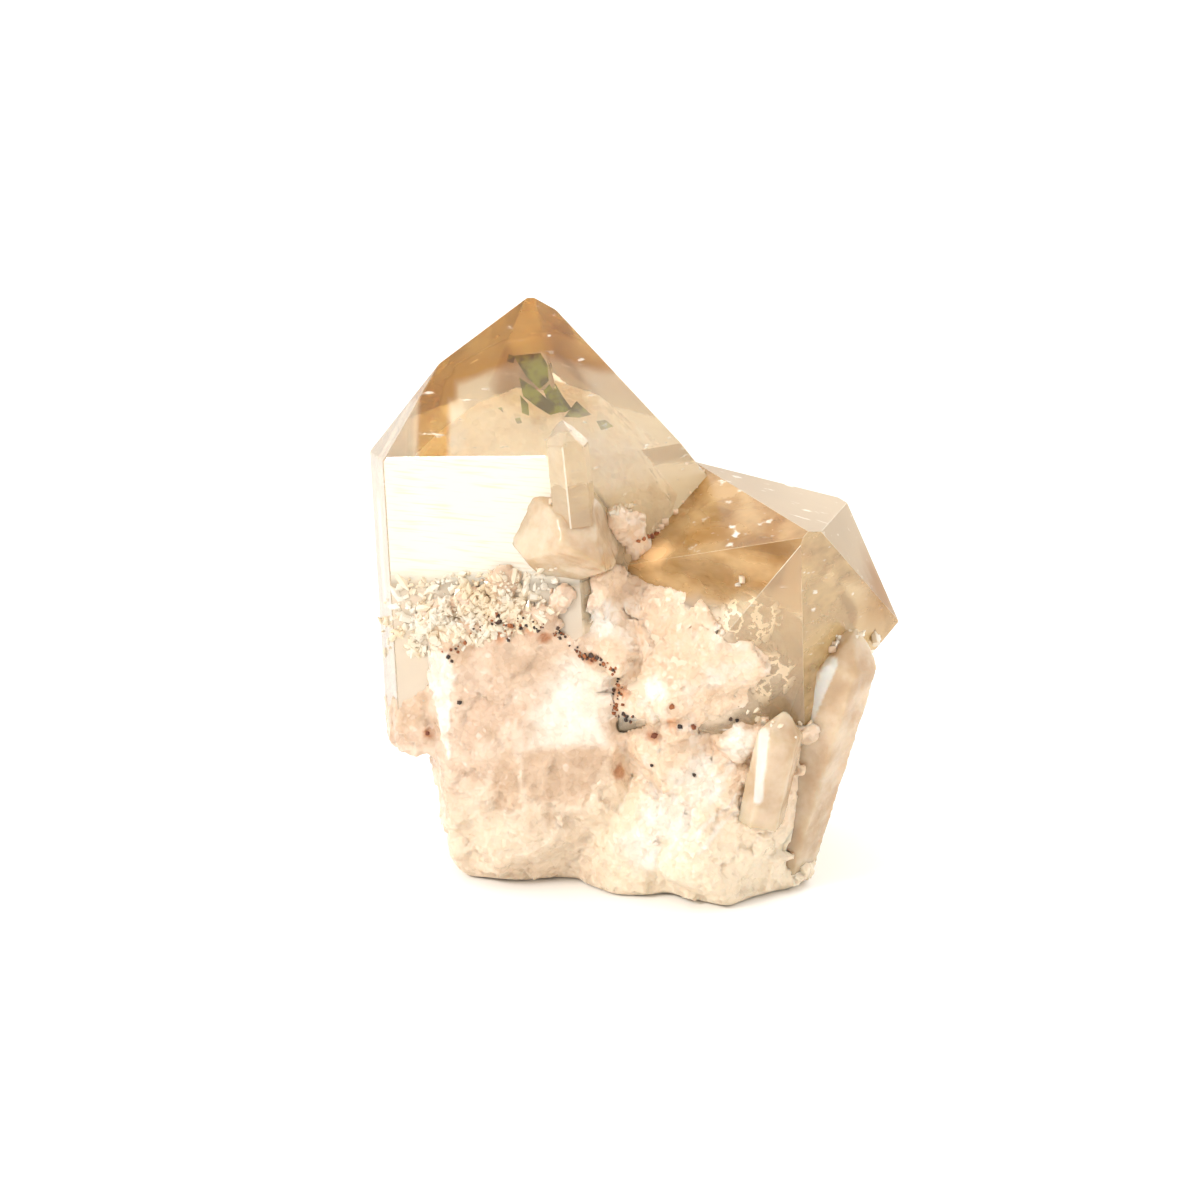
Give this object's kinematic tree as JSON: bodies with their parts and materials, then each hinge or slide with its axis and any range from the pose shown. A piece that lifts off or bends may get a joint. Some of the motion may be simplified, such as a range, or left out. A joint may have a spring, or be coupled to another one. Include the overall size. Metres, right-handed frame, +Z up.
{
  "type": "citrine cluster",
  "caption": "Citrine specimen: stout clear golden quartz crystals that grew from a druse and a milky quartz foot, cut flat underneath so that it stands by itself.",
  "frame": {"origin": "on the flat cut under the foot, about below the middle of the cluster", "axes": "+Z up, along the upright crystal; -Y the front, where the leaning crystal points; +X right as seen from the front"},
  "size_m": [0.0529, 0.0374, 0.0569],
  "materials": {
    "citrine": "bright crystal faces that go from clear golden at the tips to milky cream at the foot, broken faces dull to waxy"
  },
  "bodies": {
    "root": {"citrine_cluster": "citrine"}
  },
  "joints": []
}
